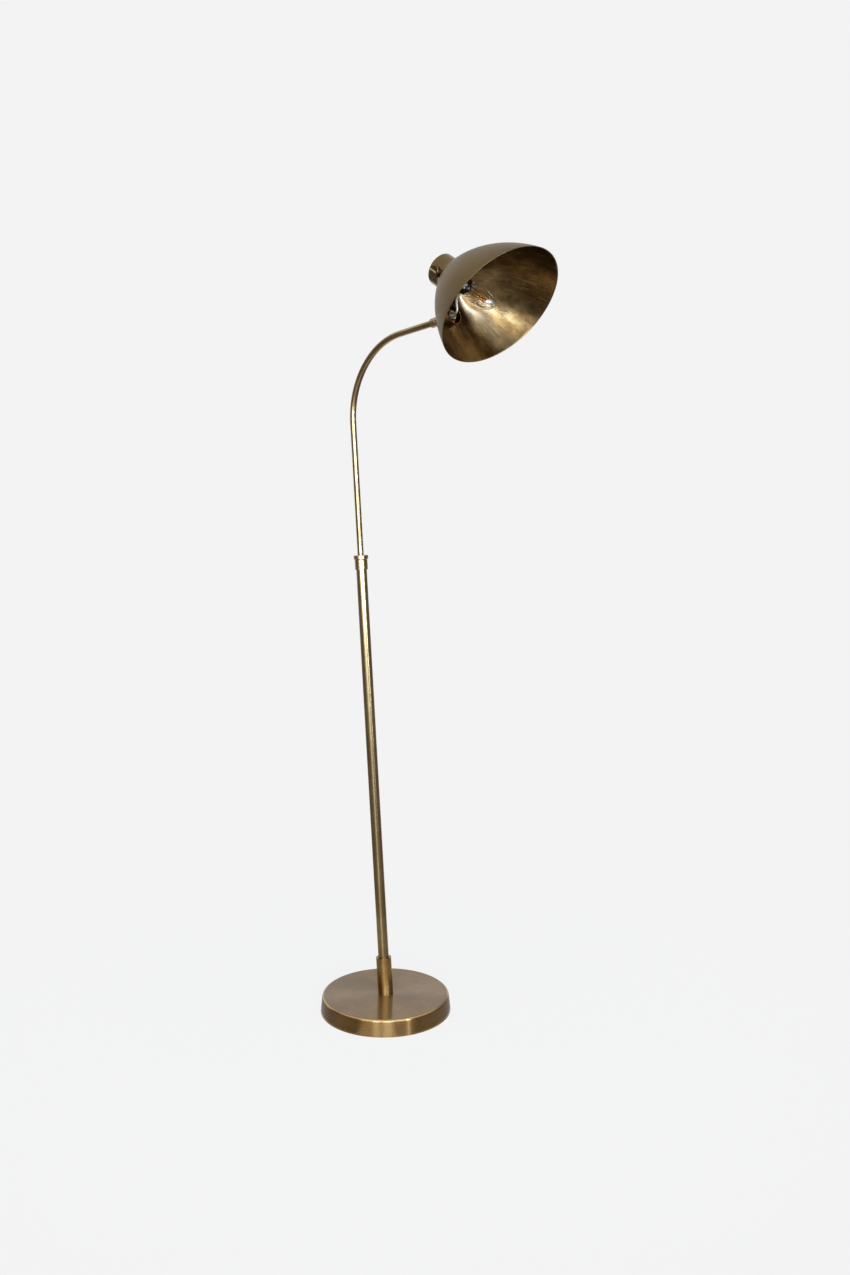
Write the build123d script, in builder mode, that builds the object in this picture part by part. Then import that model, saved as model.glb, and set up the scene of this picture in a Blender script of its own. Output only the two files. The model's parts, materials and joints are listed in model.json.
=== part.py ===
from build123d import *
import os
from math import asin, atan, atan2, cos, degrees, radians, sin, sqrt, tan

os.makedirs("parts", exist_ok=True)

# A floor lamp in aged brass: a weighted round base, a telescopic stem that leans back, a bent arm and a
# domed shade on a knuckle. Millimetres and degrees, +Z up, with the origin on the floor under the middle of
# the base and +X from the stem towards the shade. The arm and the shade's axis lie in the XZ plane.

# Clearances and cutting room
running_gap = 0.05  # radial room of a fit that turns or slides
seat_gap = 0.05  # room between pieces that are screwed, pressed or soldered together
motion_gap = 0.3  # room between faces that pass each other
overrun = 2.0  # how far a cut runs past the face that it opens

# Stance, in degrees
stem_lean = 4.1  # the stem leans back from the shade
arm_rise = 8.7  # the arm's straight end climbs towards the shade
shade_drop = 31.2  # the shade's axis points below level
mouth_tilt = 10.75  # the mouth is cut this far from square to the shade's axis

# Base
base_radius = 130.0
base_side_run = 4.0  # how far the side leans in from its lower edge to the top
base_height = 34.0
base_edge_radius = 5.0
base_wall = 1.6
base_lift = 1.0  # the cover's lower edge above the floor
foot_inset = 8.0
foot_thickness = 3.0
plate_thickness = 2.5
plate_edge_gap = 1.5
weight_inset = 18.0
weight_edge = 3.0
channel_width = 12.0
channel_height = 12.0
plate_screw_count = 3
plate_screw_inset = 27.0  # from the weight's edge
plate_screw_radius = 2.5
plate_screw_head_radius = 4.5
plate_screw_length = 16.0

# Cord inlet in the back of the base
inlet_lift = 8.5  # above the base plate
inlet_bore_radius = 3.25
inlet_barrel_radius = 5.5
inlet_barrel_length = 12.0
inlet_flange_radius = 8.0
inlet_flange_thickness = 3.0

# Fixing of the stem in the base
stud_radius = 5.0
stud_bore_radius = 3.5
stud_reach = 35.0  # above the base
stud_foot_gap = 1.5  # above the base plate
stud_tail = 1.5  # below its nut
nut_pocket_radius = 15.0
stem_washer_radius = 13.0
stem_washer_thickness = 2.0
stem_nut_flats = 17.0
stem_nut_thickness = 8.0

# Lower stem
sleeve_wall = 4.6
sleeve_length = 74.0
sleeve_edge = 0.8
tube_wall = 1.25
tube_foot_gap = 1.5  # the tube's end above the base
insert_length = 42.0
grub_radius = 2.0
grub_height = 24.0
grub_recess = 0.6
collar_station = 848.0  # along the stem, from the top of the base to the collar
collar_wall = 2.0
collar_length = 19.4
collar_edge = 0.5
tube_in_collar = 12.0
spigot_wall = 1.8
spigot_length = 6.2
collet_wall = 2.2
collet_flange_width = 0.8
collet_flange_gap = 0.25
collet_flange_thickness = 2.5
collet_slot_count = 4
collet_slot_width = 1.2
collet_slot_depth = 9.0
groove_height = 0.6
ring_step = 1.8  # how far the ring stands out from the collar
ring_height = 7.8
ring_edge = 0.9
ring_mouth_gap = 0.4

# Arm
arm_radius = 6.0
arm_wall = 1.0
arm_overlap = 176.0  # from the arm's lower end up to the collar
arm_height = 420.0  # from the collar up to where the arm's two straight lengths would meet
bend_radius = 150.0
pivot_reach = 247.0  # from that corner to the tilt pivot, along the arm
guide_length = 40.0
guide_nut_wall = 2.4
guide_nut_thickness = 5.0
guide_clip_wall = 1.4
guide_clip_thickness = 1.5

# Knuckle
ferrule_wall = 2.6
ferrule_length = 13.0
ferrule_web = 5.0
ferrule_edge = 0.6
swivel_inset = 1.0  # from the arm's bore to the swivel spigot
swivel_wall = 1.3
swivel_clip_thickness = 1.3
fork_step = 0.2  # how far the fork's collar lies below the ferrule
fork_collar_thickness = 3.4
knuckle_radius = 8.0
tongue_width = 6.0
friction_washer_thickness = 0.7
cheek_thickness = 3.8
pivot_radius = 2.5
pivot_head_radius = 4.6
pivot_head_thickness = 2.4
pivot_slot_width = 1.0
pivot_slot_depth = 1.0
pivot_nut_flats = 8.0
pivot_nut_thickness = 4.0
shoulder_gap = 2.0  # from the tongue's eye to its shoulder
shoulder_thickness = 3.0
shade_stud_radius = 5.0
shade_stud_tail = 1.6  # beyond its nut
saddle_height = 4.2

# Shade
shade_wall = 1.2
bulge_radius = 254.0  # the dome's side is an arc of this radius
bulge_offset = 123.3  # that arc's centre lies this far across the axis
neck_radius = 29.3
mouth_depth = 125.1  # from the neck to the mouth, along the axis
mount_radius = 61.25  # from the shade's axis to where the arm meets the dome
neck_spigot_wall = 1.2
neck_spigot_length = 8.0
cap_wall = 1.7
cap_length = 33.0
cap_end_thickness = 2.0
cap_edge_radius = 2.6
cap_flare = 4.6
cap_flare_length = 8.0
saddle_radius = 11.0
cup_radius = 18.0
cup_wall = 1.6
cup_floor = 1.6
cup_depth = 7.0
fixing_nut_flats = 15.0
fixing_nut_thickness = 4.5

# Lamp holder and its fixing in the cap
nipple_radius = 5.0
nipple_bore_radius = 3.5
nipple_in_holder = 4.0
nipple_in_cap_nut = 3.0
nipple_nut_flats = 14.0
nipple_nut_thickness = 4.0
cap_nut_radius = 9.0
cap_nut_thickness = 4.5
cap_nut_edge = 2.5
holder_rear_radius = 12.5
holder_rear_length = 26.0
holder_wall = 7.3
holder_front_length = 39.0
holder_edge = 1.0
holder_thread_gap = 0.35
holder_reveal = 1.1  # the bulb's cap ends this far inside the mouth
holder_shell_wall = 0.4
holder_shell_gap = 2.0
contact_radius = 4.0
contact_thickness = 1.2

# Bulb
bulb_cap_radius = 6.9
bulb_cap_length = 22.5
bulb_tip_radius = 4.5
bulb_tip_length = 2.2
glass_wall = 0.8
glass_neck_step = 0.4
glass_neck_length = 2.0
glass_shoulder_length = 4.0
glass_belly_radius = 17.5
glass_belly_station = 35.0  # from the cap to the widest place
glass_end_radius = 13.0
glass_length = 74.0
bulb_stem_gap = 0.7
bulb_stem_length = 8.0
bulb_rod_radius = 1.6
bulb_rod_length = 10.0
filament_radius = 0.8
filament_start = 17.0  # from the bulb's cap
filament_end = 58.0
filament_spread = 7.0
filament_end_spread = 5.0
filament_turn = -66.0  # degrees round the shade's axis, from its upper side

# Lead tube between the arm's fixing and the lamp holder
lead_radius = 2.5
lead_wall = 0.7
lead_in_stud = 5.0
lead_run = 9.0
lead_setback = 8.0  # from the holder's mouth
lead_drop = 15.0
lead_in_holder = 3.0
lead_bend = 8.0

# Switch in the side of the cap
switch_setback = 16.9  # from the cap's end
switch_length = 14.0
switch_width = 12.0
switch_inner_gap = 3.9  # from the lamp holder to the switch
switch_wall_gap = 1.2
bush_radius = 3.5
bush_length = 4.6
switch_nut_radius = 5.0
switch_nut_thickness = 1.5
spindle_radius = 2.0
spindle_share = 0.5  # of the switch's depth, taken up by the spindle
knob_radius = 10.5
knob_thickness = 4.4
knob_crown = 0.8  # left above the spindle
knob_recess_gap = 0.6
knob_edge = 1.2
knob_bar_width = 3.2
knob_bar_height = 2.8
knob_bar_edge = 0.9

# Round sizes that follow from one another, from the arm outwards
collet_radius = arm_radius + collet_wall
collet_flange_radius = collet_radius + collet_flange_width
spigot_radius = collet_radius + spigot_wall
tube_bore = collet_flange_radius + collet_flange_gap
tube_radius = tube_bore + tube_wall
collar_radius = tube_radius + collar_wall
ring_radius = collar_radius + ring_step
sleeve_radius = tube_radius + sleeve_wall
ferrule_radius = arm_radius + ferrule_wall
swivel_radius = arm_radius - arm_wall - swivel_inset
fork_collar_radius = ferrule_radius - fork_step

# The stem's axis, with stations counted from the top of the base
tail_station = collar_station - arm_overlap
corner_station = collar_station + arm_height
lean = radians(stem_lean)
stem = Plane(
    origin=(0, 0, base_height),
    x_dir=(cos(lean), 0, sin(lean)),
    z_dir=(-sin(lean), 0, cos(lean)),
)

# The tilt pivot, at the end of the arm's line, and the arm's axis with stations counted back from the pivot
rise = radians(arm_rise)
corner = stem.from_local_coords((0, 0, corner_station))
arm_forward = Vector(cos(rise), 0, sin(rise))
pivot = corner + arm_forward * pivot_reach
arm_back = Plane(origin=pivot, x_dir=(0, 1, 0), z_dir=-arm_forward)
pivot_cross = Plane(origin=pivot, x_dir=arm_forward, z_dir=(0, -1, 0))

# The fixing axis runs from the pivot square into the dome's wall
drop = radians(shade_drop)
mount_sine = (mount_radius + bulge_offset) / bulge_radius
inward_angle = asin(mount_sine) - drop
shoulder_station = knuckle_radius + shoulder_gap
shoulder_end = shoulder_station + shoulder_thickness
wall_reach = shoulder_end + saddle_height
inward = Vector(cos(inward_angle), 0, sin(inward_angle))
fixing = Plane(origin=pivot, x_dir=(0, 1, 0), z_dir=inward)

# The shade's axis, with stations counted from the neck towards the mouth, and its section plane
shade_forward = Vector(cos(drop), 0, -sin(drop))
shade_up = Vector(sin(drop), 0, cos(drop))
bulge_station = sqrt(bulge_radius**2 - (neck_radius + bulge_offset) ** 2)
bulge_centre = pivot + inward * (wall_reach + bulge_radius)
neck = bulge_centre - shade_forward * bulge_station - shade_up * bulge_offset
shade = Plane(origin=neck, x_dir=shade_up, z_dir=shade_forward)
shade_section = Plane(origin=neck, x_dir=shade_up, z_dir=(0, 1, 0))
shade_axis = Axis(neck, shade_forward)


def turned(axis, start, end, outer, inner=0.0, mode=Mode.ADD):
    """A round length between two stations of an axis, bored where inner is given."""
    with BuildSketch(axis.offset(start)) as section:
        Circle(outer)
        if inner:
            Circle(inner, mode=Mode.SUBTRACT)
    extrude(section.sketch, amount=end - start, mode=mode)


def hexagon_nut(axis, start, end, flats, bore):
    """A six-sided nut between two stations of an axis."""
    with BuildSketch(axis.offset(start)) as section:
        RegularPolygon(flats / 2, 6, major_radius=False)
        Circle(bore, mode=Mode.SUBTRACT)
    extrude(section.sketch, amount=end - start)


def screw_body(gap):
    """A countersunk plate screw, larger all round by the gap."""
    head = plate_screw_head_radius + gap
    shank = plate_screw_radius + gap
    tip = foot_thickness + plate_screw_length + gap
    with BuildPart() as body:
        with BuildSketch(Plane.XZ):
            with BuildLine():
                Polyline(
                    (0, foot_thickness),
                    (head, foot_thickness),
                    (shank, foot_thickness + head - shank),
                    (shank, tip),
                    (0, tip),
                    close=True,
                )
            make_face()
        revolve(axis=Axis.Z)
    return body.part


def bulge_body(radius):
    """The solid of revolution inside an arc about the bulge's centre."""
    with BuildPart() as body:
        with BuildSketch(shade_section):
            with Locations((-bulge_offset, bulge_station)):
                Circle(radius)
            with Locations((0, bulge_station)):
                Rectangle(radius, radius, align=(Align.MIN, Align.MAX), mode=Mode.INTERSECT)
        revolve(axis=shade_axis)
    return body.part


# The base's weight and its screws follow the base's radius
weight_radius = base_radius - weight_inset
plate_screw_circle = weight_radius - plate_screw_inset

# Foot pad: a felt disc under the base plate, which the lamp stands on
with BuildPart() as foot_pad:
    turned(Plane.XY, 0, foot_thickness, base_radius - foot_inset)
foot_pad.part.label = "foot_pad"
export_step(foot_pad.part, "parts/foot_pad.step")

# Base plate: a steel disc that closes the base from below
plate_top = foot_thickness + plate_thickness
plate_radius = base_radius - base_wall - plate_edge_gap
with BuildPart() as base_plate:
    turned(Plane.XY, foot_thickness, plate_top, plate_radius)
    with PolarLocations(plate_screw_circle, plate_screw_count):
        add(screw_body(seat_gap), mode=Mode.SUBTRACT)
base_plate.part.label = "base_plate"
export_step(base_plate.part, "parts/base_plate.step")

# Plate screws: countersunk screws from the plate up into the weight
with BuildPart() as plate_screws:
    with PolarLocations(plate_screw_circle, plate_screw_count):
        add(screw_body(0))
plate_screws.part.label = "plate_screws"
export_step(plate_screws.part, "parts/plate_screws.step")

# Base weight: a cast disc with a leaning bore for the stud, a nut pocket and a channel for the cord
weight_top = base_height - base_wall
stud_drop = base_height - plate_top - stud_foot_gap
nut_seat_depth = stud_drop - stud_tail - stem_nut_thickness - stem_washer_thickness
with BuildPart() as base_weight:
    turned(Plane.XY, plate_top, weight_top, weight_radius)
    chamfer(base_weight.edges().filter_by(GeomType.CIRCLE), weight_edge)
    turned(stem, -base_height, overrun, stud_radius + seat_gap, mode=Mode.SUBTRACT)
    turned(stem, -base_height, -nut_seat_depth, nut_pocket_radius, mode=Mode.SUBTRACT)
    with BuildSketch(Plane.XY.offset(plate_top)):
        Rectangle(weight_radius + overrun, channel_width, align=(Align.MAX, Align.CENTER))
    extrude(amount=channel_height, mode=Mode.SUBTRACT)
    with PolarLocations(plate_screw_circle, plate_screw_count):
        add(screw_body(seat_gap), mode=Mode.SUBTRACT)
base_weight.part.label = "base_weight"
export_step(base_weight.part, "parts/base_weight.step")

# Base cover: a spun brass shell with a drafted side and a rounded top edge
draft = atan(base_side_run / (base_height - base_lift))
inlet_height = plate_top + inlet_lift
inlet_plane = Plane(
    origin=(-(base_radius - (inlet_height - base_lift) * tan(draft)), 0, inlet_height),
    x_dir=(0, 1, 0),
    z_dir=(-cos(draft), 0, sin(draft)),
)
with BuildPart() as base_cover:
    with BuildSketch(Plane.XZ) as cover_section:
        with BuildLine():
            Polyline(
                (0, base_lift),
                (base_radius, base_lift),
                (base_radius - base_side_run, base_height),
                (0, base_height),
                close=True,
            )
        make_face()
        fillet(cover_section.vertices().group_by(Axis.Y)[-1].sort_by(Axis.X)[-1], base_edge_radius)
    revolve(axis=Axis.Z)
    offset(amount=-base_wall, openings=base_cover.faces().sort_by(Axis.Z)[0])
    turned(stem, -base_height, overrun, stud_radius + seat_gap, mode=Mode.SUBTRACT)
    turned(inlet_plane, -inlet_barrel_length, overrun, inlet_barrel_radius + seat_gap, mode=Mode.SUBTRACT)
base_cover.part.label = "base_cover"
export_step(base_cover.part, "parts/base_cover.step")

# Cord inlet: a flanged bush through the back of the cover
with BuildPart() as cord_inlet:
    turned(inlet_plane, -inlet_barrel_length, 0, inlet_barrel_radius, inlet_bore_radius)
    turned(inlet_plane, 0, inlet_flange_thickness, inlet_flange_radius, inlet_bore_radius)
cord_inlet.part.label = "cord_inlet"
export_step(cord_inlet.part, "parts/cord_inlet.step")

# Stem stud: a hollow threaded rod that ties the stem to the weight
with BuildPart() as stem_stud:
    turned(stem, -stud_drop, stud_reach, stud_radius, stud_bore_radius)
stem_stud.part.label = "stem_stud"
export_step(stem_stud.part, "parts/stem_stud.step")

# Stem washer and nut, in the weight's pocket
washer_low = -nut_seat_depth - stem_washer_thickness
with BuildPart() as stem_washer:
    turned(stem, washer_low, -nut_seat_depth, stem_washer_radius, stud_radius + seat_gap)
stem_washer.part.label = "stem_washer"
export_step(stem_washer.part, "parts/stem_washer.step")

with BuildPart() as stem_nut:
    hexagon_nut(stem, washer_low - stem_nut_thickness, washer_low, stem_nut_flats, stud_radius + seat_gap)
stem_nut.part.label = "stem_nut"
export_step(stem_nut.part, "parts/stem_nut.step")

# Base sleeve: the stem's leaning socket, cut level where it stands on the base
grub_cross = Plane(stem.from_local_coords((0, 0, grub_height)), x_dir=(0, 1, 0), z_dir=-stem.x_dir)
with BuildPart() as base_sleeve:
    turned(stem, -overrun, sleeve_length, sleeve_radius, tube_radius + seat_gap)
    top_edges = base_sleeve.edges().filter_by(GeomType.CIRCLE).group_by(Axis.Z)[-1]
    fillet(top_edges.sort_by(SortBy.RADIUS)[-1], sleeve_edge)
    split(bisect_by=Plane.XY.offset(base_height), keep=Keep.TOP)
    turned(grub_cross, 0, sleeve_radius + overrun, grub_radius + seat_gap, mode=Mode.SUBTRACT)
base_sleeve.part.label = "base_sleeve"
export_step(base_sleeve.part, "parts/base_sleeve.step")

# Grub screw: pins the tube in the sleeve from behind
with BuildPart() as grub_screw:
    turned(grub_cross, tube_radius + seat_gap, sleeve_radius - grub_recess, grub_radius)
grub_screw.part.label = "grub_screw"
export_step(grub_screw.part, "parts/grub_screw.step")

# Lower tube of the stem
tube_top = collar_station + tube_in_collar
with BuildPart() as lower_tube:
    turned(stem, tube_foot_gap, tube_top, tube_radius, tube_bore)
lower_tube.part.label = "lower_tube"
export_step(lower_tube.part, "parts/lower_tube.step")

# Tube insert: the tapped plug in the tube's lower end, which the stud screws into
with BuildPart() as tube_insert:
    turned(stem, tube_foot_gap, tube_foot_gap + insert_length, tube_bore - seat_gap, stud_radius + seat_gap)
tube_insert.part.label = "tube_insert"
export_step(tube_insert.part, "parts/tube_insert.step")

# Collar: takes the tube's upper end, with a threaded spigot for the clamp ring
collar_top = collar_station + collar_length
spigot_top = collar_top + spigot_length
with BuildPart() as collar:
    turned(stem, collar_station, collar_top, collar_radius)
    fillet(collar.edges().filter_by(GeomType.CIRCLE), collar_edge)
    turned(stem, collar_top, spigot_top, spigot_radius)
    turned(stem, collar_station, tube_top, tube_radius + seat_gap, mode=Mode.SUBTRACT)
    turned(stem, tube_top, spigot_top, collet_radius + seat_gap, mode=Mode.SUBTRACT)
collar.part.label = "collar"
export_step(collar.part, "parts/collar.step")

# Collet: the slotted bush that grips the arm, held by its flange under the collar's shoulder
collet_low = tube_top - collet_flange_thickness
with BuildPart() as collet:
    turned(stem, collet_low, spigot_top, collet_radius)
    turned(stem, collet_low, tube_top, collet_flange_radius)
    turned(stem, collet_low, spigot_top, arm_radius + running_gap, mode=Mode.SUBTRACT)
    with BuildSketch(stem.offset(spigot_top)):
        with PolarLocations(0, collet_slot_count):
            Rectangle(collet_radius + overrun, collet_slot_width, align=(Align.MIN, Align.CENTER))
    extrude(amount=-collet_slot_depth, mode=Mode.SUBTRACT)
collet.part.label = "collet"
export_step(collet.part, "parts/collet.step")

# Clamp ring: screws down over the spigot and closes the collet on the arm
ring_low = collar_top + groove_height
ring_top = ring_low + ring_height
with BuildPart() as clamp_ring:
    turned(stem, ring_low, ring_top, ring_radius)
    fillet(clamp_ring.edges().filter_by(GeomType.CIRCLE), ring_edge)
    turned(stem, ring_low, spigot_top + motion_gap, spigot_radius + running_gap, mode=Mode.SUBTRACT)
    turned(stem, ring_low, ring_top, arm_radius + ring_mouth_gap, mode=Mode.SUBTRACT)
clamp_ring.part.label = "clamp_ring"
export_step(clamp_ring.part, "parts/clamp_ring.step")

# Guide nut, guide sleeve and guide clip, on the arm's tail inside the lower tube
guide_low = tail_station + guide_nut_thickness + motion_gap
guide_top = guide_low + guide_length
clip_low = guide_top + motion_gap
with BuildPart() as guide_nut:
    turned(stem, tail_station, guide_low - motion_gap, arm_radius + guide_nut_wall, arm_radius + seat_gap)
guide_nut.part.label = "guide_nut"
export_step(guide_nut.part, "parts/guide_nut.step")

with BuildPart() as guide_sleeve:
    turned(stem, guide_low, guide_top, tube_bore - running_gap, arm_radius + running_gap)
guide_sleeve.part.label = "guide_sleeve"
export_step(guide_sleeve.part, "parts/guide_sleeve.step")

with BuildPart() as guide_clip:
    clip_radius = arm_radius + guide_clip_wall
    turned(stem, clip_low, clip_low + guide_clip_thickness, clip_radius, arm_radius + seat_gap)
guide_clip.part.label = "guide_clip"
export_step(guide_clip.part, "parts/guide_clip.step")

# Arm tube: up the stem, round the bend and out to the ferrule
fork_floor = knuckle_radius + motion_gap + motion_gap
ferrule_front = fork_floor + fork_collar_thickness + motion_gap
ferrule_back = ferrule_front + ferrule_length
arm_end = ferrule_front + ferrule_web
arm_tail = stem.from_local_coords((0, 0, tail_station))
with BuildPart() as arm_tube:
    with BuildLine() as arm_line:
        FilletPolyline(arm_tail, corner, pivot - arm_forward * arm_end, radius=bend_radius)
    with BuildSketch(stem.offset(tail_station)):
        Circle(arm_radius)
        Circle(arm_radius - arm_wall, mode=Mode.SUBTRACT)
    sweep(path=arm_line.line)
arm_tube.part.label = "arm_tube"
export_step(arm_tube.part, "parts/arm_tube.step")

# Arm ferrule: the sleeve on the arm's end, whose web carries the swivel
with BuildPart() as arm_ferrule:
    turned(arm_back, ferrule_front, ferrule_back, ferrule_radius)
    fillet(arm_ferrule.edges().filter_by(GeomType.CIRCLE), ferrule_edge)
    turned(arm_back, arm_end, ferrule_back, arm_radius + seat_gap, mode=Mode.SUBTRACT)
    turned(arm_back, ferrule_front, arm_end, swivel_radius + running_gap, mode=Mode.SUBTRACT)
arm_ferrule.part.label = "arm_ferrule"
export_step(arm_ferrule.part, "parts/arm_ferrule.step")

# Knuckle fork: two cheeks on a collar, with a hollow swivel spigot through the ferrule's web
collar_back = ferrule_front - motion_gap
swivel_clip_low = arm_end + motion_gap
swivel_end = swivel_clip_low + swivel_clip_thickness
cheek_inside = tongue_width / 2 + friction_washer_thickness + motion_gap
cheek_outside = cheek_inside + cheek_thickness
with BuildPart() as knuckle_fork:
    turned(arm_back, fork_floor, collar_back, fork_collar_radius)
    turned(arm_back, collar_back, swivel_end, swivel_radius)
    turned(arm_back, fork_floor, swivel_end, swivel_radius - swivel_wall, mode=Mode.SUBTRACT)
    for side in (-1, 1):
        with BuildSketch(pivot_cross.offset(side * cheek_inside)):
            Circle(knuckle_radius)
            Rectangle(fork_floor, 2 * knuckle_radius, align=(Align.MAX, Align.CENTER))
        extrude(amount=side * cheek_thickness)
    with BuildSketch(pivot_cross.offset(-cheek_outside)):
        Circle(pivot_radius + seat_gap)
    extrude(amount=2 * cheek_outside, mode=Mode.SUBTRACT)
knuckle_fork.part.label = "knuckle_fork"
export_step(knuckle_fork.part, "parts/knuckle_fork.step")

# Swivel clip: keeps the fork's spigot in the ferrule, inside the arm
with BuildPart() as swivel_clip:
    clip_radius = arm_radius - arm_wall - motion_gap
    turned(arm_back, swivel_clip_low, swivel_end, clip_radius, swivel_radius + seat_gap)
swivel_clip.part.label = "swivel_clip"
export_step(swivel_clip.part, "parts/swivel_clip.step")

# Pivot screw and nut: the tilt axis through the fork and the tongue
with BuildPart() as pivot_screw:
    turned(pivot_cross, cheek_outside, cheek_outside + pivot_head_thickness, pivot_head_radius)
    with BuildSketch(pivot_cross.offset(cheek_outside + pivot_head_thickness)):
        Rectangle(2 * pivot_head_radius, pivot_slot_width)
    extrude(amount=-pivot_slot_depth, mode=Mode.SUBTRACT)
    turned(pivot_cross, -cheek_outside - pivot_nut_thickness, cheek_outside, pivot_radius)
pivot_screw.part.label = "pivot_screw"
export_step(pivot_screw.part, "parts/pivot_screw.step")

with BuildPart() as pivot_nut:
    hexagon_nut(
        pivot_cross,
        -cheek_outside - pivot_nut_thickness,
        -cheek_outside,
        pivot_nut_flats,
        pivot_radius + seat_gap,
    )
pivot_nut.part.label = "pivot_nut"
export_step(pivot_nut.part, "parts/pivot_nut.step")

# Knuckle tongue: the eye between the cheeks, its shoulder and the hollow stud through the dome
wall_inside = wall_reach + shade_wall
wall_curve = mount_radius / mount_sine
cup_floor_top = wall_inside + cup_radius**2 / (2 * wall_curve) + cup_floor
stud_end = cup_floor_top + fixing_nut_thickness + shade_stud_tail
stud_bore = lead_radius + seat_gap
tongue_cross = Plane(origin=pivot, x_dir=inward, z_dir=(0, -1, 0))
with BuildPart() as knuckle_tongue:
    with BuildSketch(tongue_cross.offset(-tongue_width / 2)):
        Circle(knuckle_radius)
        Rectangle(
            shoulder_station,
            sqrt(knuckle_radius**2 - (tongue_width / 2) ** 2) * 2,
            align=(Align.MIN, Align.CENTER),
        )
        Circle(pivot_radius + running_gap, mode=Mode.SUBTRACT)
    extrude(amount=tongue_width)
    turned(fixing, shoulder_station, shoulder_end, fork_collar_radius)
    turned(fixing, shoulder_end, stud_end, shade_stud_radius)
    turned(fixing, shoulder_end, stud_end, stud_bore, mode=Mode.SUBTRACT)
knuckle_tongue.part.label = "knuckle_tongue"
export_step(knuckle_tongue.part, "parts/knuckle_tongue.step")

# Friction washers: one on each side of the tongue
with BuildPart() as friction_washers:
    for side in (-1, 1):
        with BuildSketch(tongue_cross.offset(side * tongue_width / 2)):
            Circle(knuckle_radius)
            Circle(pivot_radius + running_gap, mode=Mode.SUBTRACT)
        extrude(amount=side * friction_washer_thickness)
friction_washers.part.label = "friction_washers"
export_step(friction_washers.part, "parts/friction_washers.step")

# Shade dome: a spun bell with a spigot at its neck, cut obliquely at the mouth
spigot_outer = neck_radius - cap_wall - seat_gap
spigot_inner = spigot_outer - neck_spigot_wall
inner_bulge = bulge_radius - shade_wall
spigot_root = bulge_station - sqrt(inner_bulge**2 - (spigot_inner + bulge_offset) ** 2)
tilt = drop + radians(mouth_tilt)
mouth = Plane(
    origin=neck + shade_forward * mouth_depth,
    x_dir=(sin(tilt), 0, cos(tilt)),
    z_dir=(cos(tilt), 0, -sin(tilt)),
)
with BuildPart() as shade_dome:
    with BuildSketch(shade_section):
        with Locations((-bulge_offset, bulge_station)):
            Circle(bulge_radius)
            Circle(inner_bulge, mode=Mode.SUBTRACT)
        with Locations((spigot_inner, bulge_station)):
            Rectangle(bulge_radius, bulge_radius, align=(Align.MIN, Align.MAX), mode=Mode.INTERSECT)
        with Locations((spigot_inner, -neck_spigot_length)):
            Rectangle(neck_spigot_wall, neck_spigot_length + spigot_root, align=(Align.MIN, Align.MIN))
    revolve(axis=shade_axis)
    split(bisect_by=mouth, keep=Keep.BOTTOM)
    turned(fixing, shoulder_end, stud_end, shade_stud_radius + seat_gap, mode=Mode.SUBTRACT)
shade_dome.part.label = "shade_dome"
export_step(shade_dome.part, "parts/shade_dome.step")

# Shade saddle: the shaped washer between the tongue's shoulder and the outside of the dome
dome_outside = bulge_body(bulge_radius + seat_gap)
with BuildPart() as shade_saddle:
    turned(fixing, shoulder_end, wall_reach + overrun, saddle_radius, shade_stud_radius + seat_gap)
    add(dome_outside, mode=Mode.SUBTRACT)
shade_saddle.part.label = "shade_saddle"
export_step(shade_saddle.part, "parts/shade_saddle.step")

# Fixing cup: a dished washer inside the dome, round the stud
dome_inside = bulge_body(inner_bulge - seat_gap)
with BuildPart() as fixing_cup:
    turned(fixing, wall_inside - overrun, cup_floor_top + cup_depth, cup_radius)
    turned(fixing, cup_floor_top, cup_floor_top + cup_depth, cup_radius - cup_wall, mode=Mode.SUBTRACT)
    add(dome_inside, mode=Mode.INTERSECT)
    turned(fixing, shoulder_end, stud_end, shade_stud_radius + seat_gap, mode=Mode.SUBTRACT)
fixing_cup.part.label = "fixing_cup"
export_step(fixing_cup.part, "parts/fixing_cup.step")

# Fixing nut: draws the tongue, the saddle, the dome and the cup together
with BuildPart() as fixing_nut:
    hexagon_nut(
        fixing,
        cup_floor_top,
        cup_floor_top + fixing_nut_thickness,
        fixing_nut_flats,
        shade_stud_radius + seat_gap,
    )
fixing_nut.part.label = "fixing_nut"
export_step(fixing_nut.part, "parts/fixing_nut.step")

# Neck cap: a turned cap over the dome's spigot, flared where it meets the dome
cap_bore = neck_radius - cap_wall
cap_inside = cap_end_thickness - cap_length
flare_radius = neck_radius + cap_flare
flare_rise = bulge_station - sqrt(bulge_radius**2 - (flare_radius + bulge_offset) ** 2)
switch_centre = neck - shade_forward * (cap_length - switch_setback)
switch_axis = Plane(origin=switch_centre, x_dir=shade_forward, z_dir=(0, -1, 0))
with BuildPart() as neck_cap:
    with BuildSketch(shade_section) as cap_section:
        with BuildLine():
            Polyline(
                (0, cap_inside),
                (0, -cap_length),
                (neck_radius, -cap_length),
                (neck_radius, -cap_flare_length),
            )
            TangentArc((neck_radius, -cap_flare_length), (flare_radius, flare_rise), tangent=(0, 1))
            Polyline(
                (flare_radius, flare_rise),
                (cap_bore, flare_rise),
                (cap_bore, cap_inside),
                (0, cap_inside),
            )
        make_face()
        fillet(cap_section.vertices().group_by(Axis.Y)[0].sort_by(Axis.X)[-1], cap_edge_radius)
        with Locations((-bulge_offset, bulge_station)):
            Circle(bulge_radius + seat_gap, mode=Mode.SUBTRACT)
    revolve(axis=shade_axis)
    turned(shade, -cap_length, cap_inside, nipple_radius + seat_gap, mode=Mode.SUBTRACT)
    bush_hole = bush_radius + seat_gap
    turned(switch_axis, cap_bore - overrun, neck_radius + overrun, bush_hole, mode=Mode.SUBTRACT)
neck_cap.part.label = "neck_cap"
export_step(neck_cap.part, "parts/neck_cap.step")

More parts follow.
